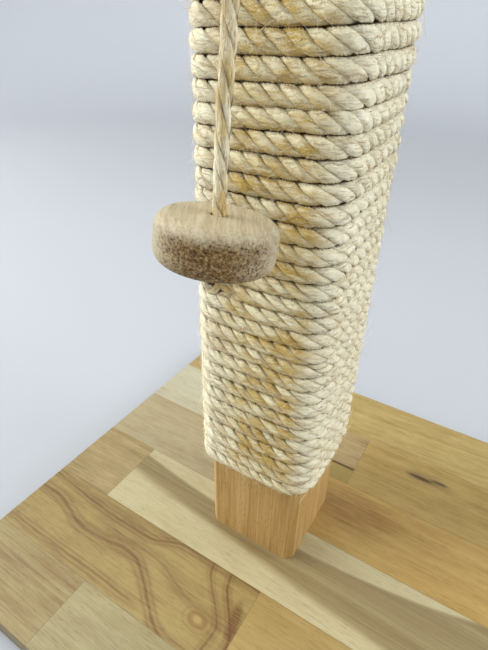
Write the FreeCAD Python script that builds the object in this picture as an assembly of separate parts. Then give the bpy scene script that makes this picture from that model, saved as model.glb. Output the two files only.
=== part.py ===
import FreeCAD, Part
import math
import os

# Cat scratching post, in millimetres. +Z is up, +X runs along the staves of the base, and the
# toy hangs on the -Y side. The origin is on the floor, under the middle of the post.

V = FreeCAD.Vector

# ---- Base panel, glued up from staves that run along X ----
base_width = 350.0
base_depth = 350.0
base_thickness = 18.0
base_corner_radius = 4.0
stave_width = 60.0
# The glue line nearest the middle of the base; the others lie whole staves away from it
base_glue_line = -5.0
# Where staves of one row meet end to end, row by row from the front
base_butts = [[-81.0, 95.0], [28.0], [-121.0], [2.0], [-32.0, 44.0], [-12.0]]
stave_min_length = 20.0
stave_min_width = 15.0
panel_edge_radius = 1.5

# ---- Felt pads under the base ----
pad_diameter = 24.0
pad_thickness = 2.0
pad_inset = 32.0

# ---- Post ----
post_width = 70.0
post_chamfer = 5.0
post_bare_foot = 78.5
post_bare_head = 6.0

# ---- Sisal rope, two lengths of it laid end to end up the post ----
rope_diameter = 8.4
rope_pitch = 9.5
rope_turns_per_length = 24
rope_bend_radius = 11.0
rope_to_post = 0.2

# ---- Top plate ----
plate_width = 200.0
plate_depth = 200.0
plate_thickness = 18.0
plate_corner_radius = 4.0
plate_stave_width = 50.0
plate_glue_line = 0.0
plate_butts = [[], [-58.0], [], [46.0]]

# ---- Wood screws, plugs and nails ----
screw_shank_diameter = 5.0
screw_head_diameter = 9.5
screw_head_height = 4.5
screw_point_length = 7.0
screw_socket_width = 4.0
screw_socket_depth = 2.5
screw_spread = 40.0
screw_recess = 0.5
screw_clearance = 0.1
base_screw_length = 70.0
plate_screw_length = 60.0
plug_diameter = 12.0
plug_depth = 6.0
plug_clearance = 0.05
nail_diameter = 1.6
nail_head_diameter = 4.5
nail_head_height = 0.8
nail_length = 24.0
nail_from_rope_end = 7.0

# ---- Toy: a turned disc on a twisted cord ----
cord_diameter = 6.0
cord_hole_diameter = 7.0
toy_x = 6.0
disc_to_rope = 11.3
disc_diameter = 50.0
disc_thickness = 20.4
disc_edge_radius = 6.0
# The disc's own axis leans from upright, because its bore is drilled askew along the cord
disc_lean_side = 3.4
disc_lean_back = 8.1
disc_to_knot = 0.25
bottom_knot_diameter = 13.0
top_knot_diameter = 15.0
knot_sink = 0.8
knot_tail_diameter = 4.5
knot_tail_length = 7.0
knot_tail_slant = 35.0
bend_to_plate = 0.5
bend_to_cord = 0.3
lower_run_length = 49.4
lower_run_lean = 2.45
# The cord's route below its bend, as steps in X, Y and down from the bend
cord_steps = [(0.4, -0.3, -23.0), (2.6, -1.0, -51.5), (3.6, -0.2, -84.0), (6.6, 0.4, -117.5),
              (7.0, -0.4, -153.0), (6.4, 0.0, -190.6), (1.5, 0.0, -240.6)]
cord_arc_share = 0.45

# ---- Heights and places that follow from the sizes above ----
base_bottom = pad_thickness
base_top = base_bottom + base_thickness
winding_start = base_top + post_bare_foot + rope_diameter / 2 - rope_pitch / 2
winding_middle = winding_start + rope_turns_per_length * rope_pitch
winding_end = winding_middle + rope_turns_per_length * rope_pitch
post_top = winding_end + rope_diameter / 2 + post_bare_head
plate_top = post_top + plate_thickness


def rope_corner_centre():
    """Distance from the post's axis to a corner bend's axis, so that the rope clears the chamfer."""
    reach = rope_bend_radius - rope_diameter / 2 - rope_to_post
    along = (math.sqrt(2 * reach ** 2 - post_chamfer ** 2) - post_chamfer) / 2
    return post_width / 2 - post_chamfer - along


rope_line = rope_corner_centre() + rope_bend_radius
toy_y = -(rope_line + rope_diameter / 2 + disc_to_rope + disc_diameter / 2)
bend_radius = cord_diameter / 2
bend_centre = V(toy_x, toy_y, post_top - bend_to_plate - bend_radius)
lower_axis = V(math.sin(math.radians(lower_run_lean)), 0, math.cos(math.radians(lower_run_lean)))


def cord_route():
    """Points of the cord from its bend under the top plate to its knot under the disc."""
    points = [bend_centre] + [bend_centre + V(*step) for step in cord_steps]
    return points + [points[-1] - lower_axis * lower_run_length]


# ---- Shared shapes ----
def is_upright(edge):
    first, last = edge.Vertexes[0].Point, edge.Vertexes[-1].Point
    return abs(first.z - last.z) > 0.5


def rounded_panel(width, depth, thickness, corner_radius, bottom):
    """A board with rounded corners and eased edges."""
    board = Part.makeBox(width, depth, thickness, V(-width / 2, -depth / 2, bottom))
    board = board.makeFillet(corner_radius, [e for e in board.Edges if is_upright(e)])
    return board.makeFillet(panel_edge_radius, [e for e in board.Edges if not is_upright(e)])


def stave_rows(depth, glue_line, width):
    """Front and back edge of each row of staves; the outer rows take what is left."""
    lines = [glue_line]
    while lines[0] - width > stave_min_width - depth / 2:
        lines.insert(0, lines[0] - width)
    while lines[-1] + width < depth / 2 - stave_min_width:
        lines.append(lines[-1] + width)
    edges = [-depth / 2] + lines + [depth / 2]
    return list(zip(edges, edges[1:]))


def staves(panel, name, rows, butts):
    """Cut a panel into its staves, named by row from the front and by place from the left."""
    box = panel.BoundBox
    pieces = {}
    for row, (front, back) in enumerate(rows):
        room = [x for x in butts[row % len(butts)]
                if box.XMin + stave_min_length < x < box.XMax - stave_min_length]
        ends = [box.XMin] + room + [box.XMax]
        for place, (left, right) in enumerate(zip(ends, ends[1:])):
            cell = Part.makeBox(right - left, back - front, box.ZLength, V(left, front, box.ZMin))
            pieces[f"{name}_{row + 1}_{place + 1}"] = panel.common(cell).Solids[0]
    return pieces


def screw(length, extra=0.0, above=0.0):
    """A countersunk wood screw, point down, head's face at the origin.

    As a hole for itself it is thicker by extra and is carried on above its head."""
    shank = screw_shank_diameter / 2 + extra
    head = screw_head_diameter / 2 + extra
    points = [V(0, 0, above), V(head, 0, above), V(head, 0, 0), V(shank, 0, -screw_head_height),
              V(shank, 0, screw_point_length - length), V(0, 0, -length - extra)]
    if not above:
        points.pop(0)
        points[0] = V(0, 0, 0)
    outline = Part.Face(Part.makePolygon(points + [points[0]]))
    return outline.revolve(V(0, 0, 0), V(0, 0, 1), 360)


def socket_screw(length):
    """The screw with a hexagon socket in its head."""
    reach = screw_socket_width / math.sqrt(3)
    corners = [V(reach * math.cos(math.radians(a)), reach * math.sin(math.radians(a)), 0)
               for a in range(0, 361, 60)]
    socket = Part.Face(Part.makePolygon(corners)).extrude(V(0, 0, -screw_socket_depth))
    return screw(length).cut(socket)


def place(shape, point, turn=0.0, about=V(1, 0, 0)):
    """A copy of the shape, turned about an axis through its origin and then moved to a point."""
    moved = shape.copy()
    moved.Placement = FreeCAD.Placement(point, FreeCAD.Rotation(about, turn))
    return moved


def four_places(spread_x, spread_y, z):
    return [V(x * spread_x / 2, y * spread_y / 2, z) for x in (-1, 1) for y in (-1, 1)]


def rounded_wire(points, radii):
    """Straight runs between points, joined at the inner points by tangent arcs."""
    edges = []
    start = points[0]
    for before, corner, after, radius in zip(points, points[1:], points[2:], radii):
        back = (before - corner).normalize()
        ahead = (after - corner).normalize()
        half_turn = (math.pi - back.getAngle(ahead)) / 2
        reach = radius * math.tan(half_turn)
        inwards = (back + ahead).normalize()
        middle = corner + inwards * (radius / math.cos(half_turn) - radius)
        edges.append(Part.LineSegment(start, corner + back * reach).toShape())
        edges.append(Part.Arc(corner + back * reach, middle, corner + ahead * reach).toShape())
        start = corner + ahead * reach
    edges.append(Part.LineSegment(start, points[-1]).toShape())
    return Part.Wire(edges)


def tube(wire, start, direction, diameter):
    """A solid round tube along a wire that starts at a point in a direction."""
    ring = Part.Wire(Part.makeCircle(diameter / 2, start, direction))
    solid = wire.makePipeShell([ring], True, False)
    print(f"  tube volume {solid.Volume:.1f}, section x length "
          f"{math.pi * diameter ** 2 / 4 * wire.Length:.1f}, length {wire.Length:.1f}")
    return solid


# ---- Sub-parts ----
def base_staves():
    panel = rounded_panel(base_width, base_depth, base_thickness, base_corner_radius, base_bottom)
    hole = screw(base_screw_length, screw_clearance, screw_recess + 1)
    for point in four_places(screw_spread, screw_spread, base_bottom + screw_recess):
        panel = panel.cut(place(hole, point, 180))
    rows = stave_rows(base_depth, base_glue_line, stave_width)
    return staves(panel, "base_stave", rows, base_butts)


def plate_staves():
    panel = rounded_panel(plate_width, plate_depth, plate_thickness, plate_corner_radius, post_top)
    hole = screw(plate_screw_length, screw_clearance, 1)
    plug_hole = Part.makeCylinder(plug_diameter / 2 + plug_clearance, plug_depth + 1)
    for point in four_places(screw_spread, screw_spread, plate_top - plug_depth):
        panel = panel.cut(place(hole, point))
        panel = panel.cut(place(plug_hole, point))
    cord_hole = Part.makeCylinder(cord_hole_diameter / 2, plate_thickness + 2,
                                  V(toy_x, toy_y, post_top - 1))
    rows = stave_rows(plate_depth, plate_glue_line, plate_stave_width)
    return staves(panel.cut(cord_hole), "plate_stave", rows, plate_butts)


def post():
    half = post_width / 2
    timber = Part.makeBox(post_width, post_width, post_top - base_top, V(-half, -half, base_top))
    timber = timber.makeChamfer(post_chamfer, [e for e in timber.Edges if is_upright(e)])
    foot_hole = screw(base_screw_length, screw_clearance, 1)
    for point in four_places(screw_spread, screw_spread, base_bottom + screw_recess):
        timber = timber.cut(place(foot_hole, point, 180))
    head_hole = screw(plate_screw_length, screw_clearance, 1)
    for point in four_places(screw_spread, screw_spread, plate_top - plug_depth):
        timber = timber.cut(place(head_hole, point))
    for nail in nails():
        timber = timber.cut(nail)
    return timber


def felt_pads():
    pad = Part.makeCylinder(pad_diameter / 2, pad_thickness)
    places = four_places(base_width - 2 * pad_inset, base_depth - 2 * pad_inset, 0)
    return Part.makeCompound([place(pad, point) for point in places])


def base_screws():
    places = four_places(screw_spread, screw_spread, base_bottom + screw_recess)
    return Part.makeCompound([place(socket_screw(base_screw_length), point, 180) for point in places])


def plate_screws():
    places = four_places(screw_spread, screw_spread, plate_top - plug_depth)
    return Part.makeCompound([place(socket_screw(plate_screw_length), point) for point in places])


def plate_plugs():
    plug = Part.makeCylinder(plug_diameter / 2, plug_depth)
    places = four_places(screw_spread, screw_spread, plate_top - plug_depth)
    return Part.makeCompound([place(plug, point) for point in places])


def winding_points(start_z):
    """Corners of a square spiral that starts and ends at the middle of the back face."""
    corners = [(-1, 1), (-1, -1), (1, -1), (1, 1)]
    points = [V(0, rope_line, start_z)]
    for corner in range(4 * rope_turns_per_length):
        x, y = corners[corner % 4]
        points.append(V(x * rope_line, y * rope_line, start_z + rope_pitch * (corner + 0.5) / 4))
    return points + [V(0, rope_line, start_z + rope_pitch * rope_turns_per_length)]


def print_least_gap(wire):
    """The least distance between a turn's surface and the next turn's, measured on points."""
    per_turn = 160
    points = wire.discretize(Number=per_turn * rope_turns_per_length)
    least = min(point.distanceToPoint(other)
                for index, point in enumerate(points)
                for other in points[index + per_turn // 2:index + 3 * per_turn // 2])
    print(f"  rope's least gap to itself {least - rope_diameter:.3f}")


def rope_winding(start_z):
    points = winding_points(start_z)
    wire = rounded_wire(points, [rope_bend_radius] * (len(points) - 2))
    print_least_gap(wire)
    return tube(wire, points[0], points[1] - points[0], rope_diameter)


def nails():
    """One nail through each loose end of the rope, driven into the post's back face."""
    rise = rope_pitch / 8 * nail_from_rope_end / rope_line
    outside = rope_line + rope_diameter / 2
    solids = []
    for x, z in ((-nail_from_rope_end, winding_start + rise), (nail_from_rope_end, winding_end - rise)):
        shank = Part.makeCylinder(nail_diameter / 2, nail_length, V(x, outside, z), V(0, -1, 0))
        head = Part.makeCylinder(nail_head_diameter / 2, nail_head_height, V(x, outside, z), V(0, 1, 0))
        solids.append(shank.fuse(head).removeSplitter())
    return solids


def knot_depth(diameter):
    """How far a knot's middle lies under the flat that it bears with."""
    return knot_sink * diameter / 2


def knot(diameter):
    """A tight knot below the origin with a short tail, flat where it bears on the wood."""
    depth = knot_depth(diameter)
    lump = Part.makeSphere(diameter / 2, V(0, 0, -depth))
    lump = lump.cut(Part.makeBox(2 * diameter, 2 * diameter, diameter, V(-diameter, -diameter, 0)))
    slant = math.radians(knot_tail_slant)
    tail = Part.makeCylinder(knot_tail_diameter / 2, diameter / 2 + knot_tail_length, V(0, 0, -depth),
                             V(math.sin(slant), 0, -math.cos(slant)))
    return lump.fuse(tail).removeSplitter()


def disc_turn():
    """The turn that leans the disc's own axis to its side and back."""
    sideways = FreeCAD.Rotation(V(0, 1, 0), disc_lean_side)
    return FreeCAD.Rotation(V(1, 0, 0), -disc_lean_back).multiply(sideways)


def disc_mouth():
    """Where the cord enters the disc, at the middle of its top face, clear of the knot's flat."""
    askew = disc_turn().multVec(V(0, 0, 1)).getAngle(lower_axis)
    knot_flat = math.sqrt((bottom_knot_diameter / 2) ** 2 - knot_depth(bottom_knot_diameter) ** 2)
    over_knot = disc_to_knot + knot_flat * math.tan(askew)
    return cord_route()[-1] + lower_axis * (over_knot + disc_thickness / math.cos(askew))


def toy_disc():
    """The disc hangs from the origin, is leaned about its mouth there, and is bored along the cord."""
    rim = disc_diameter / 2
    flat = rim - disc_edge_radius
    in_arc = disc_edge_radius * (1 - math.sqrt(0.5))
    low = disc_edge_radius - disc_thickness
    lines = [
        Part.makePolygon([V(flat, 0, -disc_thickness), V(0, 0, -disc_thickness), V(0, 0, 0), V(flat, 0, 0)]),
        Part.Arc(V(flat, 0, 0), V(rim - in_arc, 0, -in_arc), V(rim, 0, -disc_edge_radius)).toShape(),
        Part.LineSegment(V(rim, 0, -disc_edge_radius), V(rim, 0, low)).toShape(),
        Part.Arc(V(rim, 0, low), V(rim - in_arc, 0, in_arc - disc_thickness),
                 V(flat, 0, -disc_thickness)).toShape(),
    ]
    edges = [edge for line in lines for edge in line.Edges]
    disc = Part.Face(Part.Wire(edges)).revolve(V(0, 0, 0), V(0, 0, 1), 360)
    disc.Placement = FreeCAD.Placement(disc_mouth(), disc_turn())
    reach = 2 * disc_thickness
    bore = Part.makeCylinder(cord_hole_diameter / 2, 2 * reach, disc_mouth() - lower_axis * reach, lower_axis)
    return disc.cut(bore)


def toy_cord():
    points = cord_route()
    radii = []
    for before, corner, after in zip(points, points[1:], points[2:]):
        turn = (corner - before).getAngle(after - corner)
        shorter = min((corner - before).Length, (after - corner).Length)
        radii.append(cord_arc_share * shorter / math.tan(turn / 2))
    print("  cord's bend radii", [round(radius) for radius in radii])
    line = tube(rounded_wire(points, radii), points[0], points[1] - points[0], cord_diameter)
    return line.cut(Part.makeSphere(bend_radius + bend_to_cord, bend_centre))


def cord_in_plate():
    return Part.makeCylinder(cord_diameter / 2, plate_thickness, V(toy_x, toy_y, post_top))


def sub_parts():
    parts = base_staves()
    parts["felt_pads"] = felt_pads()
    parts["base_screws"] = base_screws()
    parts["post"] = post()
    parts["rope_winding_lower"] = rope_winding(winding_start)
    parts["rope_winding_upper"] = rope_winding(winding_middle)
    parts["rope_nails"] = Part.makeCompound(nails())
    parts.update(plate_staves())
    parts["plate_screws"] = plate_screws()
    parts["plate_plugs"] = plate_plugs()
    parts["toy_top_knot"] = place(knot(top_knot_diameter), V(toy_x, toy_y, plate_top), 180)
    parts["toy_cord_in_plate"] = cord_in_plate()
    parts["toy_cord_bend"] = Part.makeSphere(bend_radius, bend_centre)
    parts["toy_cord"] = toy_cord()
    parts["toy_knot"] = place(knot(bottom_knot_diameter), cord_route()[-1], lower_run_lean, V(0, 1, 0))
    parts["toy_disc"] = toy_disc()
    return parts


os.makedirs("parts", exist_ok=True)
for name, shape in sub_parts().items():
    volume = shape.Volume / 1000
    print(f"{name}: {len(shape.Solids)} solid(s), valid {shape.isValid()}, volume {volume:.2f} cm3")
    shape.exportStep(f"parts/{name}.step")
print("bend centre", bend_centre, "knot's seat", cord_route()[-1])
print("disc's mouth", disc_mouth(), "top", plate_top)
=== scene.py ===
import math

import bpy
import numpy as np
from mathutils import Matrix, Vector


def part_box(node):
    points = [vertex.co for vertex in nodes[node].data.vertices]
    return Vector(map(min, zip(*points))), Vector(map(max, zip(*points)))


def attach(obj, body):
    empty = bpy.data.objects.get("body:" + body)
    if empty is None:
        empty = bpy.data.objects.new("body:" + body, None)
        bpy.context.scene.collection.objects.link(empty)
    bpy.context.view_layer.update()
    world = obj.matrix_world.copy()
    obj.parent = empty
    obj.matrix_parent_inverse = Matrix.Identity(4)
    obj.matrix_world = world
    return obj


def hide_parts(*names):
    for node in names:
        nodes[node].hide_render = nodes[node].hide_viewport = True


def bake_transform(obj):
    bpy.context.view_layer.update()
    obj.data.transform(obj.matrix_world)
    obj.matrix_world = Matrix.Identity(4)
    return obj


# Looks of the cat scratching post, round its construction. Metres, +Z up, origin on the floor.
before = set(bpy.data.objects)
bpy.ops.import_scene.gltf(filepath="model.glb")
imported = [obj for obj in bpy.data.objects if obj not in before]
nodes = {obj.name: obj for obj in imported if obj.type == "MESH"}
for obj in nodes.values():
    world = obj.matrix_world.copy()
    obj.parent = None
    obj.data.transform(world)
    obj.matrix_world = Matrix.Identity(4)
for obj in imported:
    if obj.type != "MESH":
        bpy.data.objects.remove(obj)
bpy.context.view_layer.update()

# ---- Studio ----
FLOOR_RADIUS = 2.0
WALL_CURVE = 1.4
WALL_TOP = 3.4
# Painted light: the paper is darker near the middle and lighter far off and up the wall, to make up for
# the lamps' falloff
PAPER_NEAR = (176, 180, 185)
PAPER_FAR = (230, 234, 240)
PAPER_SPREAD = (0.9, 3.6)
SKY = (226, 226, 225)
SKY_STRENGTH = 0.70
# Name, place, size, power in watts and tint of each soft lamp
LAMPS = [("window_left", (-1.6, -0.65, 1.20), 1.5, 42.0, (1.0, 1.0, 0.98)),
         ("window_right", (1.7, 0.50, 1.30), 1.4, 26.0, (1.0, 1.0, 1.0)),
         ("overhead", (-0.3, -0.1, 1.9), 1.3, 11.5, (1.0, 1.0, 1.0))]

# ---- Camera ----
CAMERA_PLACE = Vector((0.10844, -0.22751, 0.35527))
CAMERA_AZIMUTH = 31.32
CAMERA_DOWN = 32.43
CAMERA_ROLL = 1.264
CAMERA_LENS = 26.33

# ---- The toy's cord: the same route as its solid ----
CORD_DIAMETER = 0.006
BEND = Vector((0.006, -0.0800592, 0.56065))
CORD_STEPS = [(0.0004, -0.0003, -0.0230), (0.0026, -0.0010, -0.0515), (0.0036, -0.0002, -0.0840),
              (0.0066, 0.0004, -0.1175), (0.0070, -0.0004, -0.1530), (0.0064, 0.0, -0.1906),
              (0.0015, 0.0, -0.2406)]
LOWER_RUN = 0.0494
LOWER_LEAN = math.radians(2.45)
CORD_LAY = 0.032

# ---- Rope on the post ----
ROPE_HALF_OUT = 0.0040
ROPE_HALF_UP = 0.00490
ROPE_CORNER_OUT = 0.0036
ROPE_PITCH = 0.0095
ROPE_TURNS = 24
ROPE_FACE_HALF = 0.025
ROPE_LINE_CORNER = 0.014
ROPE_BULGE = 0.0006
ROPE_LAY = 0.027
ROPE_STEP = 0.0014
WINDING_STARTS = (0.09795, 0.32595)
# Size, waves in a turn and phase of the turns' rise and fall
ROPE_SWAY = ((0.00035, 1.07, 0.3), (0.00025, 2.93, 1.9), (0.00020, 5.11, 4.0))

# A strand in its rope's unit section: how far out its middle lies, and its half width and depth
STRAND_MIDDLE = 0.52
STRAND_DEEP = 0.48
STRAND_WIDE = 0.66
ROPE_SQUARENESS = 2.6
YARN_LENGTH = 0.0052
YARN_TWIST = 1.6
SHORT_SWELL = 0.012
LONG_SWELL = 0.035

# ---- Toy ----
DISC_RADIUS = 0.025
DISC_LEAN_BACK = math.radians(8.1)
DISC_GRAIN_TURN = math.radians(-58)
KNOT_BELOW = 0.0068
KNOT_OVER = 0.0050
CORD_STEP = 0.0008
FUZZ_FREE = 0.028

# Amount, and least and greatest length, lift and thickness of loose fibres
ROPE_FUZZ = (7000, (0.0025, 0.008), (0.0002, 0.0012), (0.00008, 0.00015))
ROPE_STRAYS = (700, (0.007, 0.020), (0.0002, 0.0020), (0.00010, 0.00022))
CORD_FUZZ = (70, (0.004, 0.012), (0.0002, 0.0014), (0.00014, 0.00024))

# ---- Colours, as they look on a screen ----
BEECH_LIGHT = (205, 170, 110)
BEECH_DARK = (170, 130, 70)
BEECH_FLECK = (140, 96, 52)
PLUG_LIGHT = (180, 160, 112)
PLUG_DARK = (148, 126, 82)
DISC_LIGHT = (190, 180, 150)
DISC_DARK = (155, 135, 100)
DISC_END = (125, 95, 50)
DISC_PORE = (66, 40, 16)
DISC_GLINT = (200, 176, 128)
HEART_LIGHT = (150, 135, 95)
HEART_DARK = (120, 100, 60)
HEART_EDGE = (112, 88, 54)
VEIN_DARK = (95, 60, 20)
VEIN_DEEP = (65, 45, 20)
KNOT_ORANGE = (135, 100, 45)
KNOT_PALE = (165, 145, 90)
PATCH_ORANGE = (130, 90, 40)
CRACK_FRONT = (145, 125, 65)
SISAL_PALE = (252, 242, 200)
SISAL_GOLD = (206, 172, 88)
# Painted shade for the rope's grooves, the gaps between turns and its inner side
SISAL_GROOVE_SHADE = (98, 62, 22)
SISAL_HAIRS = ((248, 240, 216), (224, 198, 142))
CORD_PALE = (253, 244, 210)
CORD_GOLD = (214, 184, 118)
# Painted shade for the cord's grooves and inner side
CORD_GROOVE_SHADE = (84, 56, 24)
CORD_HAIRS = ((232, 218, 184), (204, 170, 112))
# Painted light: white for the rope's sides where the lamps fall
SIDE_LIGHT_WHITE = (255, 250, 222)
# Painted shade in the slits between yarns, and painted glints on raised fibres
SLIT_SHADE_BROWN = (146, 104, 40)
FIBRE_GLINT_WHITE = (255, 252, 238)
FELT = ((74, 66, 58), (104, 94, 84))
ZINC = ((188, 188, 182), (160, 162, 160))


# ---- Node trees ----
def rgb(red, green, blue):
    """A colour given as it looks on a screen, 0 to 255, as Blender wants it."""
    parts = [value / 255 for value in (red, green, blue)]
    return tuple(v / 12.92 if v <= 0.04045 else ((v + 0.055) / 1.055) ** 2.4 for v in parts) + (1.0,)


def add(tree, kind, inputs=None, **settings):
    """A node with its settings and inputs; an input is a value or another node's output."""
    node = tree.nodes.new("ShaderNode" + kind)
    for name, value in settings.items():
        setattr(node, name, value)
    for name, value in (inputs or {}).items():
        if isinstance(value, bpy.types.NodeSocket):
            tree.links.new(value, node.inputs[name])
        else:
            node.inputs[name].default_value = value
    return node


def math_node(tree, operation, first, second=0.0, clamp=False):
    return add(tree, "Math", {0: first, 1: second}, operation=operation, use_clamp=clamp).outputs[0]


def stretched(tree, vector, scale, move=(0, 0, 0), turn=0.0):
    """Coordinates turned about Z, moved and scaled."""
    turned = vector
    if turn:
        turned = add(tree, "VectorRotate", {"Vector": vector, "Angle": turn}).outputs[0]
    return add(tree, "Mapping", {"Vector": turned, "Location": move, "Scale": scale}).outputs[0]


def noise(tree, vector, scale=1.0, detail=2.0, roughness=0.5):
    inputs = {"Vector": vector, "Scale": scale, "Detail": detail, "Roughness": roughness}
    return add(tree, "TexNoise", inputs).outputs[0]


def noise_1d(tree, value, roughness):
    inputs = {"W": value, "Scale": 1.0, "Detail": 3.0, "Roughness": roughness}
    return add(tree, "TexNoise", inputs, noise_dimensions="1D").outputs[0]


def span(tree, value, low, high, to_low=0.0, to_high=1.0):
    """Maps a value's range onto another, clamped and eased."""
    inputs = {"Value": value, "From Min": low, "From Max": high, "To Min": to_low, "To Max": to_high}
    return add(tree, "MapRange", inputs, interpolation_type="SMOOTHSTEP").outputs[0]


def parts_of(tree, vector):
    return add(tree, "SeparateXYZ", {0: vector}).outputs


def product(tree, first, second, clamp=False):
    return math_node(tree, "MULTIPLY", first, second, clamp)


def total(tree, first, second, clamp=False):
    return math_node(tree, "ADD", first, second, clamp)


def less(tree, first, second):
    return math_node(tree, "SUBTRACT", first, second)


def half_wave(tree, wave, size):
    """Scales a wave of -1 to 1 and moves it so that it peaks at 1."""
    return add(tree, "Math", {0: wave, 1: size, 2: 1 - size}, operation="MULTIPLY_ADD").outputs[0]


def mix(tree, share, first, second):
    """The first colour for a share of 0, the second for a share of 1."""
    node = tree.nodes.new("ShaderNodeMix")
    node.data_type = "RGBA"
    for index, value in ((0, share), (6, first), (7, second)):
        if isinstance(value, bpy.types.NodeSocket):
            tree.links.new(value, node.inputs[index])
        else:
            node.inputs[index].default_value = value
    return node.outputs[2]


def new_material(name):
    """A material with its tree, its shader and the place's coordinates in metres."""
    material = bpy.data.materials.new(name)
    material.use_nodes = True
    tree = material.node_tree
    shader = tree.nodes["Principled BSDF"]
    return material, tree, shader, tree.nodes.new("ShaderNodeTexCoord").outputs["Object"]


def bump(tree, shader, height, distance):
    inputs = {"Height": height, "Distance": distance, "Strength": 1.0}
    tree.links.new(add(tree, "Bump", inputs).outputs[0], shader.inputs["Normal"])


def finish_surface(tree, shader, colour, roughness):
    tree.links.new(colour, shader.inputs["Base Color"])
    tree.links.new(roughness, shader.inputs["Roughness"])


def dress(name, material):
    for place in nodes[name].material_slots:
        place.material = material


# ---- Wood ----
def spot(tree, place, centre, size, turn=0.0, warp=None):
    """1 in the middle of an ellipse about a point of the top face, 0 outside it."""
    moved = add(tree, "VectorMath", {0: place, 1: (*centre, 0)}, operation="SUBTRACT").outputs[0]
    shaped = stretched(tree, moved, (1 / size[0], 1 / size[1], 0), turn=-turn)
    far = add(tree, "VectorMath", {0: shaped}, operation="LENGTH").outputs["Value"]
    if warp is not None:
        far = total(tree, far, warp)
    return span(tree, far, 0.35, 1.0, 1.0, 0.0)


def wood(name, light, dark, seed, rings=90.0, figure=2.5, contrast=0.75, pores=0.5, slant=0.0,
         box=None, extra=None, gloss=0.46):
    """Board with its grain along X: rings, fibres, pores, and darker glue lines round its box."""
    material, tree, shader, place = new_material(name)
    grain = stretched(tree, place, (1, 1, 1), (0.37 * seed, 0.61 * seed, 0.13 * seed), slant)
    warp = noise(tree, stretched(tree, grain, (5, 20, 20)), 1.0, 2.0)
    warp = less(tree, warp, 0.5)
    across = parts_of(tree, grain)
    ring = product(tree, across[1], rings)
    ring = total(tree, ring, product(tree, across[2], rings * 0.6))
    ring = total(tree, ring, product(tree, warp, figure))
    lines = noise_1d(tree, ring, 0.6)
    lines = span(tree, lines, 0.28, 0.72)
    fibres = noise(tree, stretched(tree, grain, (30, 900, 900)), 1.0, 3.0, 0.65)
    mottle = noise(tree, stretched(tree, grain, (45, 150, 150)), 1.0, 3.0, 0.6)
    drift = noise(tree, stretched(tree, grain, (6, 22, 22)), 1.0, 2.0)
    share = product(tree, lines, 0.5 * contrast)
    share = total(tree, share, span(tree, fibres, 0.25, 0.75, -0.20, 0.34))
    share = total(tree, share, span(tree, mottle, 0.25, 0.75, -0.18, 0.24))
    share = total(tree, share, span(tree, drift, 0.3, 0.7, -0.08, 0.30), clamp=True)
    colour = mix(tree, share, rgb(*light), rgb(*dark))
    if extra is not None:
        colour = extra(tree, place, warp, lines, fibres, colour)
    holes = noise(tree, stretched(tree, grain, (110, 1200, 1200)), 1.0, 1.0)
    holes = span(tree, holes, 0.62, 0.72, 0.0, pores)
    colour = mix(tree, holes, colour, rgb(*(0.62 * value for value in dark)))
    if box is not None:
        colour = mix(tree, glue_line(tree, place, box), colour, rgb(*(0.62 * value for value in dark)))
    finish_surface(tree, shader, colour, span(tree, fibres, 0.3, 0.7, gloss - 0.06, gloss + 0.08))
    relief = less(tree, fibres, product(tree, holes, 1.5))
    bump(tree, shader, relief, 0.00007)
    return material


def glue_line(tree, place, box):
    """A thin darker line along the sides of a stave, seen from above."""
    parts = parts_of(tree, place)
    nearest = None
    for axis in (0, 1):
        for side, sign in ((box[0][axis], 1), (box[1][axis], -1)):
            away = product(tree, less(tree, parts[axis], side), sign)
            nearest = away if nearest is None else math_node(tree, "MINIMUM", nearest, away)
    ragged = noise(tree, place, 300.0, 1.0)
    nearest = total(tree, nearest, product(tree, ragged, 0.0003))
    return span(tree, nearest, 0.0002, 0.0006, 0.4, 0.0)


# ---- Marks of single staves, at places on the base's top face ----
def vein(tree, along, across, start, steps, reach, strength, warp, lines):
    """Parallel grain lines, darkest in the middle, along a line that bends by smooth steps."""
    line = start
    for first, last, rise in steps:
        line = total(tree, span(tree, along, first, last, 0.0, rise), line)
    line = total(tree, product(tree, warp, 0.007), line)
    away = less(tree, across, line)
    wave = math_node(tree, "COSINE", product(tree, away, math.pi * lines / reach))
    wave = half_wave(tree, wave, 0.32)
    fade = span(tree, math_node(tree, "ABSOLUTE", away), 0.0, reach, strength, 0.0)
    return product(tree, fade, wave)


# Front and back edge of the heart band: where they cross the middle, and how they slope or bend
HEART_FRONT = -0.0452
HEART_FRONT_SLOPE = -0.105
HEART_BACK = -0.0215
HEART_BACK_BEND = 0.62

# Start, bends (from, to, rise), reach, strength and number of lines of each vein near the knot
LONG_VEINS = [(-0.0705, [(-0.175, -0.110, -0.0055), (-0.068, -0.034, 0.0100)], 0.0070, 0.80, 4),
              (-0.0850, [(-0.160, -0.112, -0.0110), (-0.100, -0.075, 0.0038), (-0.070, -0.004, -0.0340)],
               0.0095, 0.80, 4),
              (-0.0855, [(-0.050, -0.005, -0.0120)], 0.0070, 0.42, 4),
              (-0.1175, [], 0.0085, 0.70, 5)]
STEEP_VEINS = [(0.0150, [(-0.104, -0.066, -0.0265)], 0.0055, 0.75, 3),
               (0.0270, [(-0.109, -0.064, -0.0235)], 0.0060, 0.90, 3)]
KNOT_CENTRE = (0.0020, -0.1037, 0)
KNOT_SIZE = (0.0042, 0.0028)

# Centre, size and strength of each part of the dark streak behind the post
STREAKS = [((0.0965, 0.0962), (0.0180, 0.0032), 0.95), ((0.1125, 0.0990), (0.0120, 0.0028), 0.8),
           ((0.1030, 0.0985), (0.0300, 0.0090), 0.35)]
CRACK_AT = 0.0728


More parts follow.
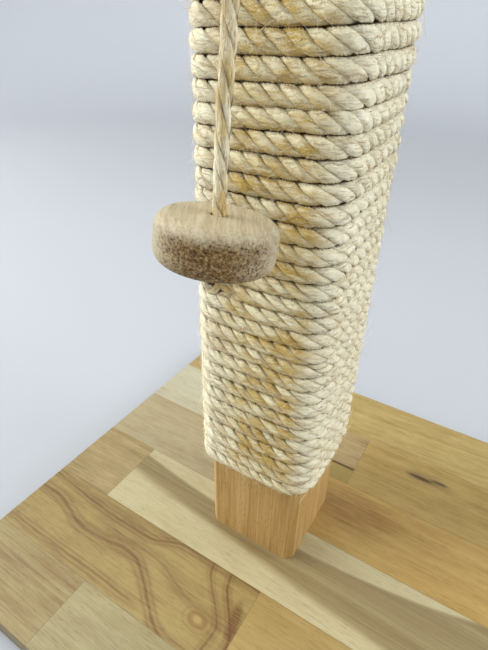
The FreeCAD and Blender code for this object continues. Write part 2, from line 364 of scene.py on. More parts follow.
def heart_band(tree, place, warp, rings, fibres, colour):
    """Pale sapwood in front, a grey-brown band of heartwood across the middle, paler again behind."""
    parts = parts_of(tree, place)
    wavy = product(tree, warp, 0.010)
    front = product(tree, parts[0], HEART_FRONT_SLOPE)
    front = total(tree, front, total(tree, wavy, HEART_FRONT))
    dip = product(tree, math_node(tree, "POWER", parts[0], 2.0), HEART_BACK_BEND)
    back = total(tree, dip, total(tree, product(tree, warp, 0.008), HEART_BACK))
    over_front = less(tree, parts[1], front)
    under_back = less(tree, back, parts[1])
    band = product(tree, span(tree, over_front, -0.003, 0.0055),
                   span(tree, under_back, -0.001, 0.0035))
    heart = mix(tree, product(tree, rings, 0.6), rgb(*HEART_LIGHT), rgb(*HEART_DARK))
    streaks = noise(tree, stretched(tree, place, (9, 420, 420), (2, 5, 1)), 1.0, 4.0, 0.65)
    heart = mix(tree, span(tree, streaks, 0.46, 0.64, 0.0, 0.45), heart, rgb(*HEART_DARK))
    heart = mix(tree, span(tree, fibres, 0.3, 0.7, 0.0, 0.35), heart, rgb(*HEART_DARK))
    colour = mix(tree, band, colour, heart)
    edge = product(tree, span(tree, under_back, 0.0, 0.0012),
                   span(tree, under_back, 0.0050, 0.0012))
    return mix(tree, product(tree, edge, 0.28), colour, rgb(*HEART_EDGE))


def knotty(tree, place, warp, rings, fibres, colour):
    """Dark veins that part round a small knot near the stave's right end, and a dark flame beside it."""
    x, y, _ = parts_of(tree, place)
    fine = product(tree, less(tree, noise(tree, place, 90.0, 3.0), 0.5), 0.35)
    warp = total(tree, warp, fine)
    upper, lower, middle, low = (vein(tree, x, y, *shape, warp, lines) for *shape, lines in LONG_VEINS)
    middle = product(tree, middle, span(tree, x, -0.110, -0.080))
    low = product(tree, low, span(tree, x, -0.030, -0.050))
    steep, steeper = (vein(tree, y, x, *shape, warp, lines) for *shape, lines in STEEP_VEINS)
    for mask in (upper, lower, middle, low, steep, steeper):
        mask = product(tree, mask, span(tree, fibres, 0.25, 0.6, 0.55, 1.0))
        colour = mix(tree, mask, colour, rgb(*VEIN_DARK))
    ragged = product(tree, warp, 0.9)
    flame = spot(tree, place, (0.0235, -0.0930), (0.0055, 0.0190), 0.25, ragged)
    flame = product(tree, flame, span(tree, fibres, 0.35, 0.6, 0.45, 0.85))
    colour = mix(tree, flame, colour, rgb(*VEIN_DARK))
    centre = add(tree, "VectorMath", {0: place, 1: KNOT_CENTRE}, operation="SUBTRACT").outputs[0]
    oval = stretched(tree, centre, (1 / KNOT_SIZE[0], 1 / KNOT_SIZE[1], 0))
    far = add(tree, "VectorMath", {0: oval}, operation="LENGTH").outputs["Value"]
    far = total(tree, far, product(tree, warp, 0.8))
    ripple = half_wave(tree, math_node(tree, "SINE", product(tree, far, 5.2)), 0.5)
    ripple = product(tree, ripple, span(tree, far, 1.0, 4.2, 0.42, 0.0), clamp=True)
    colour = mix(tree, ripple, colour, rgb(*VEIN_DARK))
    colour = mix(tree, span(tree, far, 1.6, 2.6, 0.35, 0.0), colour, rgb(*KNOT_ORANGE))
    return mix(tree, span(tree, far, 0.5, 1.0, 0.8, 0.0), colour, rgb(*KNOT_PALE))


def orange_patch(tree, place, warp, rings, fibres, colour):
    """Orange-brown swirls beside the post."""
    ragged = product(tree, warp, 1.6)
    mask = spot(tree, place, (0.058, 0.026), (0.050, 0.026), 0.0, ragged)
    mask = product(tree, mask, span(tree, fibres, 0.3, 0.65, 0.25, 0.7))
    return mix(tree, mask, colour, rgb(*PATCH_ORANGE))


def knot_streak(tree, place, warp, rings, fibres, colour):
    """A dark streak with a thinner one at its right end, in a soft halo."""
    ragged = product(tree, warp, 1.2)
    for centre, size, strength in STREAKS:
        mask = product(tree, spot(tree, place, centre, size, 0.0, ragged), strength)
        colour = mix(tree, mask, colour, rgb(*VEIN_DEEP))
    return colour


def cracked_patch(tree, place, warp, rings, fibres, colour):
    """Brown wood behind an open crack; in front of it the wood is as golden as its neighbour's."""
    parts = parts_of(tree, place)
    front = span(tree, parts[1], CRACK_AT - 0.0006, CRACK_AT + 0.0012)
    colour = mix(tree, front, rgb(*CRACK_FRONT), colour)
    away = math_node(tree, "ABSOLUTE", less(tree, parts[1], CRACK_AT))
    return mix(tree, span(tree, away, 0.0005, 0.0018, 0.9, 0.0), colour, rgb(*VEIN_DEEP))


# Light and dark wood, ring spacing, figure and mark of each stave of the base
STAVES = {
    "base_stave_1_1": ((150, 135, 90), (120, 95, 55), 260.0, 1.6, 0.8, None),
    "base_stave_1_2": ((155, 145, 105), (125, 110, 70), 110.0, 3.4, 0.75, None),
    "base_stave_1_3": ((150, 135, 90), (120, 100, 55), 150.0, 2.0, 0.7, None),
    "base_stave_2_1": ((155, 135, 80), (120, 95, 50), 100.0, 3.2, 0.7, knotty),
    "base_stave_2_2": ((165, 140, 85), (140, 115, 60), 170.0, 1.8, 0.7, None),
    "base_stave_3_1": ((165, 145, 100), (125, 105, 60), 140.0, 2.0, 0.8, None),
    "base_stave_3_2": ((185, 175, 135), (165, 150, 110), 120.0, 1.6, 0.6, heart_band),
    "base_stave_4_1": ((165, 155, 120), (145, 125, 90), 110.0, 1.8, 0.7, None),
    "base_stave_4_2": ((180, 150, 85), (150, 115, 55), 170.0, 2.2, 0.7, orange_patch),
    "base_stave_5_1": ((180, 175, 150), (160, 150, 120), 90.0, 1.4, 0.6, None),
    "base_stave_5_2": ((165, 145, 100), (130, 105, 65), 190.0, 1.6, 0.7, cracked_patch),
    "base_stave_5_3": ((165, 140, 80), (135, 110, 55), 120.0, 1.8, 0.65, knot_streak),
    "base_stave_6_1": ((170, 150, 100), (140, 115, 70), 130.0, 1.8, 0.7, None),
    "base_stave_6_2": ((175, 155, 95), (140, 115, 60), 210.0, 1.6, 0.75, None),
    "plate_stave_1_1": ((170, 150, 100), (135, 115, 70), 130.0, 2.2, 0.7, None),
    "plate_stave_2_1": ((180, 165, 120), (155, 135, 90), 110.0, 1.8, 0.65, None),
    "plate_stave_2_2": ((160, 140, 90), (125, 105, 60), 150.0, 2.4, 0.75, None),
    "plate_stave_3_1": ((165, 150, 100), (140, 115, 65), 170.0, 2.0, 0.7, None),
    "plate_stave_4_1": ((170, 155, 110), (145, 125, 80), 120.0, 2.0, 0.7, None),
    "plate_stave_4_2": ((155, 135, 85), (120, 95, 55), 140.0, 2.4, 0.75, None),
}


def dress_staves():
    for seed, (name, (light, dark, rings, figure, contrast, mark)) in enumerate(STAVES.items()):
        slant = 0.03 * math.sin(2.3 * seed)
        dress(name, wood(name, light, dark, seed + 1, rings, figure, contrast, 0.35, slant,
                         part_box(name), mark))


def upright_beech():
    """Beech with its grain along Z, and the short dark flecks of its rays."""
    material, tree, shader, place = new_material("post_beech")
    warp = noise(tree, stretched(tree, place, (16, 16, 4)), 1.0, 2.0)
    bands = noise(tree, stretched(tree, place, (330, 330, 7)), 1.0, 4.0, 0.6)
    fibres = noise(tree, stretched(tree, place, (1000, 1000, 25)), 1.0, 2.0)
    flecks = noise(tree, stretched(tree, place, (1300, 1300, 260)), 1.0, 1.0)
    share = total(tree, span(tree, bands, 0.3, 0.7, 0.1, 0.8),
                  span(tree, warp, 0.3, 0.7, -0.15, 0.2))
    share = total(tree, share, span(tree, fibres, 0.3, 0.7, -0.2, 0.2), clamp=True)
    colour = mix(tree, share, rgb(*BEECH_LIGHT), rgb(*BEECH_DARK))
    colour = mix(tree, span(tree, flecks, 0.60, 0.72, 0.0, 0.45), colour, rgb(*BEECH_FLECK))
    finish_surface(tree, shader, colour, span(tree, fibres, 0.3, 0.7, 0.42, 0.54))
    bump(tree, shader, fibres, 0.00004)
    return material


def turned_wood():
    """Turned disc, its grain along one diameter, so that two sides show dark speckled end grain."""
    material, tree, shader, place = new_material("disc_wood")
    low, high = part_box("toy_disc")
    middle = (low + high) / 2
    own = add(tree, "VectorMath", {0: place, 1: middle}, operation="SUBTRACT").outputs[0]
    lean = {"Vector": own, "Axis": (1, 0, 0), "Angle": DISC_LEAN_BACK}
    leaned = add(tree, "VectorRotate", lean).outputs[0]
    grain = add(tree, "VectorRotate", {"Vector": leaned, "Angle": -DISC_GRAIN_TURN}).outputs[0]
    parts = parts_of(tree, grain)
    end = math_node(tree, "ABSOLUTE", math_node(tree, "DIVIDE", parts[0], DISC_RADIUS))
    wavy = noise(tree, stretched(tree, own, (90, 90, 90)), 1.0, 3.0, 0.6)
    height = total(tree, parts[2], product(tree, less(tree, wavy, 0.5), 0.004))
    flat = span(tree, height, 0.0020, 0.0085, 1.0, 0.0)
    end = product(tree, span(tree, end, 0.35, 1.0), flat)
    warp = less(tree, noise(tree, stretched(tree, grain, (10, 40, 40)), 1.0, 2.0), 0.5)
    ring = total(tree, product(tree, parts[1], 300.0), product(tree, warp, 3.0))
    ring = total(tree, ring, product(tree, parts[2], 160.0))
    lines = noise_1d(tree, ring, 0.5)
    fibres = noise(tree, stretched(tree, grain, (45, 1000, 1000)), 1.0, 3.0, 0.6)
    share = total(tree, span(tree, lines, 0.3, 0.7, 0.0, 0.45),
                  span(tree, fibres, 0.3, 0.7, -0.2, 0.35), clamp=True)
    colour = mix(tree, share, rgb(*DISC_LIGHT), rgb(*DISC_DARK))
    blotch = noise(tree, stretched(tree, grain, (60, 60, 90)), 1.0, 3.0, 0.6)
    deep = product(tree, end, span(tree, blotch, 0.25, 0.65, 0.55, 1.0))
    colour = mix(tree, deep, colour, rgb(*DISC_END))
    specks = noise(tree, stretched(tree, grain, (800, 800, 1000), turn=0.5), 1.0, 3.0, 0.75)
    dark = product(tree, span(tree, specks, 0.50, 0.60), span(tree, end, 0.0, 0.7, 0.12, 0.85))
    colour = mix(tree, dark, colour, rgb(*DISC_PORE))
    glint = product(tree, span(tree, specks, 0.46, 0.34), span(tree, end, 0.0, 0.7, 0.15, 0.60))
    colour = mix(tree, glint, colour, rgb(*DISC_GLINT))
    finish_surface(tree, shader, colour, span(tree, fibres, 0.3, 0.7, 0.48, 0.60))
    shader.inputs["Specular IOR Level"].default_value = 0.25
    bump(tree, shader, less(tree, fibres, dark), 0.00008)
    return material


# ---- Rope and cord ----
def fibre_material(name, pale, golden, deep, gold_share, side_light=0.0, under=0.0):
    """Laid plant fibre: yarns along the strand, with painted shade as dark slits, golden undersides and
    dark grooves, and painted glints on raised fibres.

    On the post its right side and the part towards the left are painted lighter, where the lamps fall on
    them.
    """
    material, tree, shader, place = new_material(name)
    fibre = add(tree, "Attribute", attribute_name="fibre").outputs["Vector"]
    depth = add(tree, "Attribute", attribute_name="depth").outputs["Fac"]
    stray = noise(tree, stretched(tree, fibre, (170, 500, 500), (3, 1, 2)), 1.0, 2.0)
    stray = product(tree, less(tree, stray, 0.5), 0.0022)
    stray = add(tree, "CombineXYZ", {0: 0.0, 1: stray, 2: stray}).outputs[0]
    fibre = add(tree, "VectorMath", {0: fibre, 1: stray}, operation="ADD").outputs[0]
    yarns = noise(tree, stretched(tree, fibre, (90, 1000, 1000)), 1.0, 3.0, 0.6)
    hairs = noise(tree, stretched(tree, fibre, (130, 2600, 2600), (5, 2, 7)), 1.0, 2.0, 0.6)
    lengths = noise(tree, stretched(tree, fibre, (40, 260, 260)), 1.0, 3.0, 0.55)
    patches = noise(tree, place, 26.0, 2.0)
    gold = total(tree, lengths, product(tree, less(tree, patches, 0.5), 0.9))
    gold = total(tree, gold, product(tree, less(tree, yarns, 0.5), 0.5))
    gold = span(tree, gold, 0.62 - gold_share * 0.3, 0.98 - gold_share * 0.3)
    colour = mix(tree, gold, rgb(*pale), rgb(*golden))
    # Painted shade: faces that look down are turned golden
    facing_up = parts_of(tree, add(tree, "NewGeometry").outputs["Normal"])[2]
    colour = mix(tree, span(tree, facing_up, 0.25, -0.75, 0.0, under), colour, rgb(*golden))
    # Painted light: the rope's right side and the part towards the left are whitened where the lamps fall
    # on them
    outward = add(tree, "Attribute", attribute_name="outward").outputs["Vector"]
    sideways = parts_of(tree, outward)[0]
    left_end = span(tree, parts_of(tree, place)[0], -0.004, -0.034, 0.0, 0.9)
    lit_sides = math_node(tree, "MAXIMUM", span(tree, sideways, 0.10, 0.90), left_end)
    colour = mix(tree, product(tree, lit_sides, side_light), colour, rgb(*SIDE_LIGHT_WHITE))
    # Painted shade in the low slits of yarns and hairs, painted glints on the raised hairs, where the bump
    # sinks and lifts the surface
    colour = mix(tree, span(tree, yarns, 0.30, 0.47, 0.62, 0.0), colour, rgb(*SLIT_SHADE_BROWN))
    colour = mix(tree, span(tree, hairs, 0.54, 0.70, 0.0, 0.45), colour, rgb(*FIBRE_GLINT_WHITE))
    colour = mix(tree, span(tree, hairs, 0.30, 0.42, 0.4, 0.0), colour, rgb(*SLIT_SHADE_BROWN))
    # Painted shade: deep colour in the grooves between strands, in the gaps between turns and on the inner
    # side
    colour = mix(tree, span(tree, depth, 0.28, 0.80, 0.95, 0.0), colour, rgb(*deep))
    finish_surface(tree, shader, colour, span(tree, yarns, 0.3, 0.7, 0.62, 0.8))
    shader.inputs["Sheen Weight"].default_value = 0.08
    shader.inputs["Specular IOR Level"].default_value = 0.15
    height = total(tree, yarns, product(tree, hairs, 0.4))
    bump(tree, shader, height, 0.0017)
    return material


def unit(vectors):
    return vectors / np.linalg.norm(vectors, axis=-1, keepdims=True)


def wander(at, size, seed):
    """Smooth random values from -1 to 1 along a line, with features of one size."""
    knots = np.random.default_rng(seed).uniform(-1, 1, int(at.max() / size) + 3)
    index = np.floor(at / size).astype(int)
    share = at / size - index
    eased = share * share * (3 - 2 * share)
    return knots[index] * (1 - eased) + knots[index + 1] * eased


def lengths_along(line):
    return np.concatenate([[0.0], np.cumsum(np.linalg.norm(np.diff(line, axis=0), axis=1))])


def put_points(mesh, name, kind, values):
    data = mesh.attributes.new(name, kind, "POINT").data
    field = "vector" if kind == "FLOAT_VECTOR" else "value"
    data.foreach_set(field, np.ascontiguousarray(values, np.float32).ravel())


def tube_mesh(name, rings, material, attributes=()):
    """A closed tube through rings of points, an array of rings by points by 3."""
    count, sides = rings.shape[:2]
    index = np.arange(count * sides).reshape(count, sides)
    here, there = index[:-1], index[1:]
    quads = np.stack([here, np.roll(here, -1, 1), np.roll(there, -1, 1), there], axis=-1).reshape(-1, 4)
    mesh = bpy.data.meshes.new(name)
    caps = [index[0][::-1].tolist(), index[-1].tolist()]
    mesh.from_pydata(rings.reshape(-1, 3).tolist(), [], quads.tolist() + caps)
    mesh.polygons.foreach_set("use_smooth", np.ones(len(mesh.polygons), bool))
    for attribute, kind, values in attributes:
        put_points(mesh, attribute, kind, values)
    mesh.materials.append(material)
    piece = bpy.data.objects.new(name, mesh)
    bpy.context.collection.objects.link(piece)
    return piece


def yarn_ridges(along, sides, seed):
    """Rises and dips from -1 to 1 on a strand's side, long along it and narrow across."""
    columns = [wander(along, YARN_LENGTH, 100 * seed + side) for side in range(sides)]
    return np.stack(columns, axis=1)


def strand(name, line, outward, reach_out, reach_up, lay, phase, material, sides=16, seed=1, uneven=0.05,
           rough=0.0, squareness=2.0):
    """One strand of a laid rope: it winds round the rope's line, right-handed for a positive lay."""
    tangent = unit(np.gradient(line, axis=0))
    outward = unit(outward - tangent * (outward * tangent).sum(1, keepdims=True))
    across = np.cross(tangent, outward)
    along = lengths_along(line)
    turn = 2 * math.pi * along / lay + phase + 0.5 * wander(along, LONG_SWELL, 7)
    turn = turn[:, None]
    swell = 1 + uneven * wander(along, SHORT_SWELL, seed) + uneven * wander(along, LONG_SWELL, seed + 50)
    swell = swell[:, None] + rough * yarn_ridges(along, sides, seed)
    round_it = np.linspace(0, 2 * math.pi, sides, endpoint=False)[None, :]
    deep = STRAND_MIDDLE + STRAND_DEEP * swell * np.cos(round_it)
    wide = STRAND_WIDE * swell * np.sin(round_it)
    out = np.cos(turn) * deep - np.sin(turn) * wide
    up = np.sin(turn) * deep + np.cos(turn) * wide
    round_rope = np.arctan2(up, out)
    squared = np.abs(np.cos(round_rope)) ** squareness + np.abs(np.sin(round_rope)) ** squareness
    squared = squared ** (-1 / squareness)
    # depth is the mask for painted shade: low in the grooves between strands, in the gap between turns and
    # on the rope's inner side
    gap = np.clip((1.0 - np.abs(up)) / 0.15, 0.0, 1.0) if squareness > 2 else 1.0
    depth = np.sqrt(out ** 2 + up ** 2) * np.clip(out + 1.0, 0.0, 1.0) * gap
    out, up = out * squared, up * squared
    rings = (line[:, None] + (out * reach_out[:, None])[..., None] * outward[:, None]
             + (up * reach_up[:, None])[..., None] * across[:, None])
    own = round_it + YARN_TWIST * turn
    radius = STRAND_DEEP * reach_out[:, None]
    fibre = np.stack([np.broadcast_to(along[:, None] + 0.31 * seed, own.shape), radius * np.cos(own),
                      radius * np.sin(own) + 0.02 * seed], axis=-1)
    away = np.broadcast_to(outward[:, None], rings.shape)
    return tube_mesh(name, rings, material, [("fibre", "FLOAT_VECTOR", fibre), ("depth", "FLOAT", depth),
                                             ("outward", "FLOAT_VECTOR", away)])


def round_post(at):
    """Points, outward normals and share of bend of the rope's line, from the middle of the back."""
    arc = math.pi / 2 * ROPE_LINE_CORNER
    quarter = 2 * ROPE_FACE_HALF + arc
    side = np.floor(at / quarter).astype(int)
    here = at - side * quarter
    angle = np.clip((here - ROPE_FACE_HALF) / ROPE_LINE_CORNER, 0, math.pi / 2)
    before = np.minimum(here, ROPE_FACE_HALF)
    after = np.maximum(here - ROPE_FACE_HALF - arc, 0)
    x = -before - ROPE_LINE_CORNER * np.sin(angle)
    y = ROPE_FACE_HALF + ROPE_LINE_CORNER * np.cos(angle) - after
    from_middle = np.where(after > 0, ROPE_FACE_HALF - after, before)
    bulge = ROPE_BULGE * np.cos(math.pi / 2 * np.clip(from_middle / ROPE_FACE_HALF, 0, 1)) ** 2
    normal = np.stack([-np.sin(angle), np.cos(angle)], axis=1)
    flat = np.stack([x, y], axis=1) + bulge[:, None] * normal
    cornered = np.sin(2 * angle)
    quarter_turns = side * math.pi / 2
    cos, sin = np.cos(quarter_turns), np.sin(quarter_turns)

    def turned(points):
        return np.stack([points[:, 0] * cos - points[:, 1] * sin, points[:, 0] * sin + points[:, 1] * cos,
                         np.zeros(len(points))], axis=1)

    return turned(flat), turned(normal), cornered


def winding_line(start_z):
    """The rope's line up the post, its outward normals and its half thickness outward and up."""
    turn_length = 4 * (2 * ROPE_FACE_HALF + math.pi / 2 * ROPE_LINE_CORNER)
    at = np.arange(0, ROPE_TURNS * turn_length, ROPE_STEP)
    line, normal, cornered = round_post(at)
    turns = at / turn_length
    sway = sum(size * np.sin(2 * math.pi * rate * turns + start) for size, rate, start in ROPE_SWAY)
    sway *= np.clip(turns * 4, 0, 1) * np.clip((ROPE_TURNS - turns) * 4, 0, 1)
    line[:, 2] = start_z + ROPE_PITCH * turns + sway
    line += normal * (0.00025 * wander(at, 0.021, int(start_z * 1000)))[:, None]
    reach_out = ROPE_HALF_OUT + (ROPE_CORNER_OUT - ROPE_HALF_OUT) * cornered
    reach_up = np.full(len(at), ROPE_HALF_UP) * (1 + 0.03 * wander(at, 0.04, 11))
    return line, normal, reach_out, reach_up


def tube_along(points, radius, sides=3):
    """Rings of thin round hairs through points, an array of hairs by points by 3."""
    tangent = unit(np.gradient(points, axis=1))
    helper = np.where(np.abs(tangent[..., 2:]) > 0.8, (1.0, 0.0, 0.0), (0.0, 0.0, 1.0))
    side = unit(np.cross(tangent, helper))
    other = np.cross(tangent, side)
    angle = np.linspace(0, 2 * math.pi, sides, endpoint=False)
    ring = side[:, :, None] * np.cos(angle)[:, None] + other[:, :, None] * np.sin(angle)[:, None]
    return points[:, :, None] + ring * radius[..., None, None]


def hair_mesh(name, points, thickness, material):
    """Loose fibres, thinner towards their ends."""
    hairs, count = points.shape[:2]
    taper = 0.35 + 0.65 * np.sin(math.pi * np.linspace(0.08, 0.92, count))
    rings = tube_along(points, thickness[:, None] / 2 * taper)
    sides = rings.shape[2]
    index = np.arange(hairs * count * sides).reshape(hairs, count, sides)
    here, there = index[:, :-1], index[:, 1:]
    quads = np.stack([here, np.roll(here, -1, 2), np.roll(there, -1, 2), there], axis=-1).reshape(-1, 4)
    caps = np.concatenate([index[:, 0, ::-1], index[:, -1]])
    mesh = bpy.data.meshes.new(name)
    mesh.from_pydata(rings.reshape(-1, 3).tolist(), [], quads.tolist() + caps.tolist())
    mesh.materials.append(material)
    piece = bpy.data.objects.new(name, mesh)
    bpy.context.collection.objects.link(piece)
    return piece


def loose_fibres(name, line, normal, reach, amount, length, lift, thickness, material, seed):
    """Fibres that have sprung from a rope's outer side, lying near it or standing off."""
    draw = np.random.default_rng(seed)
    index = draw.integers(5, len(line) - 5, amount)
    tangent = unit(np.gradient(line, axis=0))[index]
    outward = normal[index]
    across = np.cross(tangent, outward)
    lean = draw.uniform(-1, 1, (amount, 1)) * 0.75
    start = line[index] + outward * (reach * np.cos(lean) * 0.97) + across * (reach * np.sin(lean))
    heading = draw.normal(0, 0.75, (amount, 1))
    along = tangent * np.cos(heading) * draw.choice([-1, 1], (amount, 1)) + across * np.sin(heading)
    long = draw.uniform(*length, (amount, 1))
    high = draw.uniform(*lift, (amount, 1)) * draw.uniform(0.3, 1.0, (amount, 1))
    curl = draw.normal(0, 0.22, (amount, 1)) * long
    sideways = np.cross(along, outward)
    share = np.linspace(0, 1, 5)[None, :, None]
    rise = high[:, None] * share ** 1.5 - 0.0006 * (1 - share) ** 4
    points = (start[:, None] + along[:, None] * long[:, None] * share + outward[:, None] * rise
              + sideways[:, None] * curl[:, None] * share ** 2)
    return hair_mesh(name, points, draw.uniform(*thickness, amount), material)


def hair_material(name, pale, golden):
    material, tree, shader, place = new_material(name)
    share = noise(tree, place, 60.0, 2.0)
    colour = mix(tree, span(tree, share, 0.35, 0.65), rgb(*pale), rgb(*golden))
    finish_surface(tree, shader, colour, span(tree, share, 0.2, 0.8, 0.5, 0.7))
    return material


def wind_rope():
    # Painted light on the rope's sides 0.80, painted shade on its undersides 0.75
    material = fibre_material("sisal", SISAL_PALE, SISAL_GOLD, SISAL_GROOVE_SHADE, 0.85, 0.80, 0.75)
    hair = hair_material("sisal_hair", *SISAL_HAIRS)
    for part, start_z in zip(("lower", "upper"), WINDING_STARTS):
        line, normal, reach_out, reach_up = winding_line(start_z)
        node = f"rope_winding_{part}"
        for index in range(3):
            piece = strand(f"rope_{part}_strand_{index + 1}", line, normal, reach_out, reach_up, ROPE_LAY,
                           2 * math.pi * index / 3, material, seed=3 * index + len(part), uneven=0.07,
                           rough=0.105, squareness=ROPE_SQUARENESS)
            finish_piece(piece, "stand", "sisal_rope", node)
        seed = int(start_z * 1000)
        reach = ROPE_HALF_OUT * 1.04
        short = loose_fibres(f"rope_{part}_fuzz", line, normal, reach, *ROPE_FUZZ, hair, seed)
        long = loose_fibres(f"rope_{part}_stray_fibres", line, normal, reach, *ROPE_STRAYS, hair, seed + 1)
        for piece in (short, long):
            finish_piece(piece, "stand", "sisal_rope")


def finish_piece(piece, body, slot, *replaced):
    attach(piece, body)
    if replaced:
        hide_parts(*replaced)


def spline_line(points, resolution=24):
    """Points along the smooth line that has the route's points as its control points."""
    curve = bpy.data.curves.new("route", "CURVE")
    curve.dimensions = "3D"
    spline = curve.splines.new("NURBS")
    spline.points.add(len(points) - 1)
    for control, point in zip(spline.points, points):
        control.co = (*point, 1.0)
    spline.order_u = 3
    spline.use_endpoint_u = True
    spline.resolution_u = resolution
    holder = bpy.data.objects.new("route", curve)
    mesh = bpy.data.meshes.new_from_object(holder)
    line = np.array([vertex.co for vertex in mesh.vertices], float)
    bpy.data.meshes.remove(mesh)
    bpy.data.objects.remove(holder)
    bpy.data.curves.remove(curve)
    return line


def spaced(line, step):
    """The same line with evenly spaced points."""
    along = lengths_along(line)
    at = np.linspace(0, along[-1], max(2, round(along[-1] / step)) + 1)
    return np.stack([np.interp(at, along, line[:, axis]) for axis in range(3)], axis=1)


def joined(name, parts):
    with bpy.context.temp_override(active_object=parts[0], object=parts[0], selected_objects=parts,
                                   selected_editable_objects=parts):
        bpy.ops.object.join()
    parts[0].name = name
    return parts[0]


def plies(name, line, outward, radius, lay, material, sides=14, seed=5):
    """A twisted cord's three plies joined into one piece."""
    normals = np.tile(np.array(outward, float), (len(line), 1)) if np.ndim(outward) == 1 else outward
    reach = np.full(len(line), radius)
    parts = [strand(f"{name}_{index}", line, normals, reach, reach, lay, 2 * math.pi * index / 3,
                    material, sides, seed + index, 0.10, 0.09) for index in range(3)]
    return joined(name, parts)


def carried_normals(line, first):
    """A normal carried along a line without twisting round it."""
    tangents = unit(np.gradient(line, axis=0))
    normal = Vector(first)
    found = []
    for tangent in tangents:
        along = Vector(tangent)
        normal = (normal - along * normal.dot(along)).normalized()
        found.append(normal[:])
    return np.array(found)


def knot_line(scale):
    """A closed overhand knot about its own Z axis."""
    t = np.linspace(0, 2 * math.pi, 181)
    radial = 2 + np.cos(3 * t)
    return scale * np.stack([radial * np.cos(2 * t), radial * np.sin(2 * t), 1.1 * np.sin(3 * t)], axis=1)


def knot_piece(name, centre, scale, radius, tail, facing, material, seed):
    """A tight knot with a short frayed tail."""
    turn = Vector((0, 0, 1)).rotation_difference(Vector(facing)).to_matrix()
    loop = knot_line(scale) @ np.array(turn).T + np.array(centre)
    loop = spaced(loop, 0.0007)
    lump = plies(name, loop, carried_normals(loop, facing), radius, -0.016, material, 10, seed)
    way = Vector(tail)
    end = Vector(centre) + way
    halfway = Vector(centre) + way * 0.5 + Vector((0.0004, 0, 0))
    short = spaced(np.array([Vector(centre)[:], halfway[:], end[:]]), 0.0006)
    normals = carried_normals(short, facing)
    stub = plies(name + "_stub", short, normals, radius * 0.85, -0.018, material, 10, seed + 9)
    draw = np.random.default_rng(seed)
    amount = 60
    spread = draw.normal(0, 0.0010, (amount, 1, 3))
    share = np.linspace(0, 1, 6)[None, :, None]
    start = np.array((end - way.normalized() * 0.003)[:])
    direction = np.array(way.normalized()[:])
    long = draw.uniform(0.003, 0.0055, (amount, 1, 1))
    fray = start + spread * 0.6 + direction * long * share + spread * 1.6 * share ** 2
    tuft = hair_mesh(name + "_tuft", fray, draw.uniform(0.0002, 0.0004, amount), material)
    # No painted groove shade on the frayed tuft
    put_points(tuft.data, "depth", "FLOAT", np.ones(len(tuft.data.vertices)))
    return joined(name, [lump, stub, tuft])


def plumb_line(top, bottom, step):
    """A line straight down through the cord's bend."""
    return spaced(np.array([(BEND.x, BEND.y, top), (BEND.x, BEND.y, bottom)]), step)


def hang_toy():
    # Painted light on the cord's sides 0.3, no painted underside shade
    material = fibre_material("toy_fibre", CORD_PALE, CORD_GOLD, CORD_GROOVE_SHADE, 0.9, 0.3)
    hair = hair_material("toy_hair", *CORD_HAIRS)
    lean = Vector((math.sin(LOWER_LEAN), 0, math.cos(LOWER_LEAN)))
    route = [BEND] + [BEND + Vector(step) for step in CORD_STEPS]
    foot = route[-1] - lean * LOWER_RUN
    line = spaced(spline_line(route + [foot]), CORD_STEP)
    cord = plies("cord_line", line, (0, -1, 0), CORD_DIAMETER / 2, -CORD_LAY, material, seed=20)
    reach = CORD_DIAMETER / 2
    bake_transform(cord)
    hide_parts("toy_cord")

    plate_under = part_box("toy_cord_in_plate")[0].z
    plate_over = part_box("toy_cord_in_plate")[1].z
    neck_line = plumb_line(plate_under + 0.003, BEND.z - 0.0006, 0.0006)
    neck = plies("cord_neck", neck_line, (0, -1, 0), reach, -CORD_LAY, material, seed=30)
    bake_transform(neck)
    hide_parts("toy_cord_bend")
    in_plate_line = plumb_line(plate_over + 0.002, plate_under + 0.0025, 0.0008)
    in_plate = plies("cord_in_plate", in_plate_line, (0, -1, 0), reach, -CORD_LAY, material, seed=40)
    finish_piece(in_plate, "stand", "toy_cord", "toy_cord_in_plate")

    knot = knot_piece("knot_under_disc", foot - lean * KNOT_BELOW, 0.00175, 0.0023,
                      (0.0085, -0.0020, -0.0040), (0.45, -0.88, 0.1), material, 60)
    finish_piece(knot, "toy_end", "toy_cord", "toy_knot")
    top_knot = knot_piece("knot_on_plate", (BEND.x, BEND.y, plate_over + KNOT_OVER), 0.0018, 0.0024,
                          (-0.0085, 0.0, 0.0105), (0.1, 0.2, 1.0), material, 80)
    finish_piece(top_knot, "stand", "toy_cord", "toy_top_knot")

    hairy = line[round(FUZZ_FREE / CORD_STEP):]
    facing = np.tile((0.0, -1.0, 0.0), (len(hairy), 1))
    fuzz = loose_fibres("cord_fuzz", hairy, facing, reach * 0.8, *CORD_FUZZ, hair, 90)
    finish_piece(fuzz, "toy_line", "toy_cord")


# ---- Small parts ----
def felt_material():
    material, tree, shader, place = new_material("felt")
    mottle = noise(tree, place, 900.0, 4.0, 0.7)
    colour = mix(tree, span(tree, mottle, 0.3, 0.7), rgb(*FELT[0]), rgb(*FELT[1]))
    finish_surface(tree, shader, colour, span(tree, mottle, 0.3, 0.7, 0.88, 0.98))
    bump(tree, shader, mottle, 0.0004)
    return material


def steel_material():
    material, tree, shader, place = new_material("zinced_steel")
    shader.inputs["Metallic"].default_value = 1.0
    brushed = noise(tree, stretched(tree, place, (900, 900, 90)), 1.0, 3.0)
    colour = mix(tree, span(tree, brushed, 0.3, 0.7), rgb(*ZINC[0]), rgb(*ZINC[1]))
    finish_surface(tree, shader, colour, span(tree, brushed, 0.3, 0.7, 0.3, 0.5))
    bump(tree, shader, brushed, 0.00003)
    return material


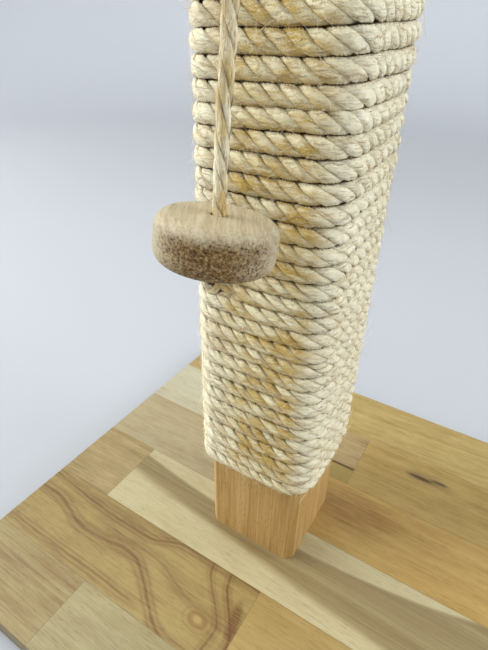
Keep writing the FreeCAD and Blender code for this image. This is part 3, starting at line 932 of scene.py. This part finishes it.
def paper_bowl():
    """A plain floor that curves up all round, with no edge in any view."""
    profile = [(radius, 0.0) for radius in (0.0, 0.5, 1.0, FLOOR_RADIUS)]
    for step in range(1, 17):
        angle = math.pi / 2 * step / 16
        profile.append((FLOOR_RADIUS + WALL_CURVE * math.sin(angle), WALL_CURVE * (1 - math.cos(angle))))
    profile.append((FLOOR_RADIUS + WALL_CURVE, WALL_TOP))
    around = 96
    points, faces = [], []
    for radius, height in profile:
        for side in range(around):
            angle = 2 * math.pi * side / around
            points.append((radius * math.cos(angle), radius * math.sin(angle), height))
    for row in range(len(profile) - 1):
        for side in range(around):
            here, beside = row * around + side, row * around + (side + 1) % around
            faces.append((here, beside, beside + around, here + around))
    mesh = bpy.data.meshes.new("floor")
    mesh.from_pydata(points, [], faces)
    mesh.polygons.foreach_set("use_smooth", np.ones(len(mesh.polygons), bool))
    material, tree, shader, place = new_material("paper")
    parts = parts_of(tree, place)
    far = add(tree, "VectorMath", {0: place}, operation="LENGTH").outputs["Value"]
    far = total(tree, far, product(tree, parts[2], 0.8))
    # Painted light: darker paper near the middle, lighter far off and up the wall
    colour = mix(tree, span(tree, far, *PAPER_SPREAD), rgb(*PAPER_NEAR), rgb(*PAPER_FAR))
    tree.links.new(colour, shader.inputs["Base Color"])
    shader.inputs["Roughness"].default_value = 0.95
    mesh.materials.append(material)
    floor = bpy.data.objects.new("floor", mesh)
    bpy.context.collection.objects.link(floor)


def lights():
    world = bpy.data.worlds.new("studio")
    bpy.context.scene.world = world
    world.use_nodes = True
    background = world.node_tree.nodes["Background"]
    background.inputs["Color"].default_value = rgb(*SKY)
    background.inputs["Strength"].default_value = SKY_STRENGTH
    aim = Vector((0, 0, 0.22))
    for name, place, size, energy, tint in LAMPS:
        data = bpy.data.lights.new(name, "AREA")
        data.shape = "SQUARE"
        data.size = size
        data.energy = energy
        data.color = tint
        lamp = bpy.data.objects.new(name, data)
        lamp.location = place
        lamp.rotation_mode = "QUATERNION"
        lamp.rotation_quaternion = (aim - Vector(place)).to_track_quat("-Z", "Y")
        bpy.context.collection.objects.link(lamp)


def camera():
    azimuth, down, roll = (math.radians(angle) for angle in (CAMERA_AZIMUTH, CAMERA_DOWN, CAMERA_ROLL))
    flat = math.cos(down)
    ahead = Vector((-math.sin(azimuth) * flat, math.cos(azimuth) * flat, -math.sin(down)))
    level = ahead.cross(Vector((0, 0, 1))).normalized()
    upright = level.cross(ahead)
    right = level * math.cos(roll) + upright * math.sin(roll)
    up = upright * math.cos(roll) - level * math.sin(roll)
    data = bpy.data.cameras.new("camera")
    data.lens = CAMERA_LENS
    data.sensor_width = 36.0
    data.clip_start = 0.01
    eye = bpy.data.objects.new("camera", data)
    axes = Matrix((right, up, -ahead)).transposed().to_4x4()
    axes.translation = CAMERA_PLACE
    eye.matrix_world = axes
    bpy.context.collection.objects.link(eye)
    bpy.context.scene.camera = eye


camera()
paper_bowl()
lights()
bpy.context.scene.view_settings.view_transform = "Standard"
hang_toy()
wind_rope()
dress_staves()
dress("post", upright_beech())
dress("toy_disc", turned_wood())
dress("plate_plugs", wood("plate_plugs", PLUG_LIGHT, PLUG_DARK, 31, 200.0, 1.2))
dress("felt_pads", felt_material())
steel = steel_material()
for fixing in ("base_screws", "plate_screws", "rope_nails"):
    dress(fixing, steel)
